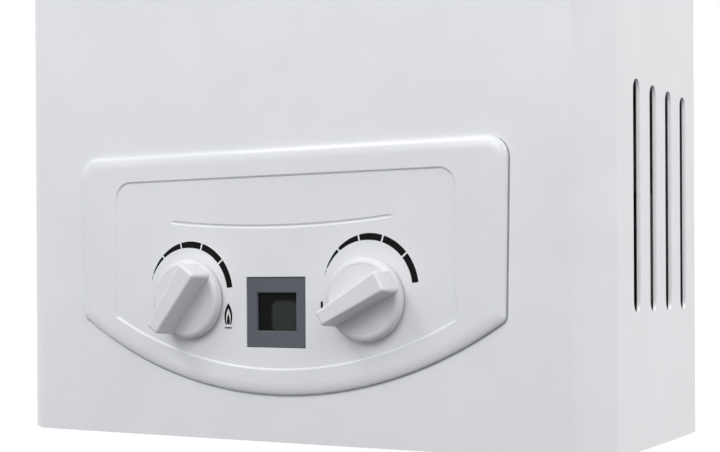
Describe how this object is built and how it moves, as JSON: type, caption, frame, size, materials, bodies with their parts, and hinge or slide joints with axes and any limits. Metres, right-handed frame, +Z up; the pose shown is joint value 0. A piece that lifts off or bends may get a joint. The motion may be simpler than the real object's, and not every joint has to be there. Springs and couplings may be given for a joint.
{
  "type": "portable gas water heater",
  "caption": "Wall-hung tankless propane water heater: chamfered sheet case with side louvres, curved control panel, turning knobs, display, carry handle and threaded unions below.",
  "frame": {"origin": "middle of the overall width and depth, at the level of the case's lower rim", "axes": "+Z up, the controls face -Y, +X to the right seen from the front"},
  "size_m": [0.2986, 0.1378, 0.427],
  "materials": {
    "white_paint": "satin white powder coat",
    "zinc_steel": "zinc coated sheet steel",
    "stainless": "stainless sheet",
    "panel_plastic": "smooth light grey moulding",
    "knob_plastic": "satin grey moulding",
    "grey_plastic": "slate grey moulding",
    "black_plastic": "black moulding",
    "red_plastic": "red moulding",
    "window": "dark tinted window",
    "board": "printed circuit board",
    "brass": "machined brass",
    "copper": "copper sheet and tube",
    "cast_aluminium": "die cast",
    "cell_sleeve": "printed battery sleeve",
    "rubber": "moulded rubber",
    "ceramic": "glazed insulator",
    "screw_steel": "plated"
  },
  "bodies": {
    "case": {"front_cover": "white_paint", "back_plate": "zinc_steel", "bottom_plate": "zinc_steel", "hinge_tabs": "zinc_steel", "control_panel": "panel_plastic", "panel_clips": "screw_steel", "display_frame": "grey_plastic", "display_lens": "window", "display_board": "board", "gas_valve_body": "cast_aluminium", "gas_solenoid": "zinc_steel", "water_valve_body": "brass", "diaphragm": "rubber", "diaphragm_cover": "brass", "microswitch": "black_plastic", "valve_bracket": "zinc_steel", "water_inlet_fitting": "brass", "water_outlet_fitting": "brass", "gas_inlet_fitting": "brass", "inlet_filter": "stainless", "drain_plug": "black_plastic", "burner_frame": "stainless", "burner_bars": "stainless", "gas_manifold": "cast_aluminium", "gas_nozzles": "brass", "gas_riser": "cast_aluminium", "electrode_sleeves": "ceramic", "electrode_wires": "screw_steel", "electrode_bracket": "stainless", "burner_supports": "zinc_steel", "combustion_chamber": "copper", "fin_block": "copper", "exchanger_tube": "copper", "overheat_thermostat": "cast_aluminium", "inlet_pipe": "copper", "outlet_pipe": "copper", "pipe_nuts": "brass", "flue_collector": "zinc_steel", "rain_cap": "white_paint", "handle_brackets": "zinc_steel", "battery_box": "black_plastic", "battery_cells": "cell_sleeve", "battery_contacts": "screw_steel", "battery_door_pin": "screw_steel", "ignition_controller": "black_plastic", "tilt_switch": "black_plastic", "cover_screws": "screw_steel", "top_screws": "screw_steel"},
    "gas_control": {"gas_knob": "knob_plastic", "gas_spindle": "brass"},
    "water_control": {"water_knob": "knob_plastic", "water_spindle": "brass"},
    "handle": {"carry_handle": "screw_steel", "handle_grip": "black_plastic"},
    "battery_lid": {"battery_door": "black_plastic"},
    "diaphragm_rod": {"pushrod": "stainless"},
    "switch_button": {"microswitch_button": "red_plastic"}
  },
  "joints": [
    {"name": "gas_knob_turn", "type": "hinge", "parent": "case", "child": "gas_control", "pos_m": [-0.045, -0.0533, 0.0615], "axis": [0, 1, 0], "range_deg": [0, 227]},
    {"name": "water_knob_turn", "type": "hinge", "parent": "case", "child": "water_control", "pos_m": [0.045, -0.0533, 0.0615], "axis": [0, 1, 0], "range_deg": [-25, 202]},
    {"name": "handle_swing", "type": "hinge", "parent": "case", "child": "handle", "pos_m": [0, 0.0189, 0.409], "axis": [-1, 0, 0], "range_deg": [0, 100]},
    {"name": "battery_door_swing", "type": "hinge", "parent": "case", "child": "battery_lid", "pos_m": [0.1032, 0.0632, 0.0378], "axis": [1, 0, 0], "range_deg": [0, 90]},
    {"name": "pushrod_slide", "type": "slide", "parent": "case", "child": "diaphragm_rod", "axis": [-1, 0, 0], "range_m": [0, 0.003], "stiffness_N_per_m": 600},
    {"name": "switch_button_slide", "type": "slide", "parent": "case", "child": "switch_button", "axis": [-1, 0, 0], "range_m": [0, 0.0012]}
  ],
  "couplings": [
    {"joint": "switch_button_slide", "follows": "pushrod_slide", "ratio": 0.4}
  ]
}
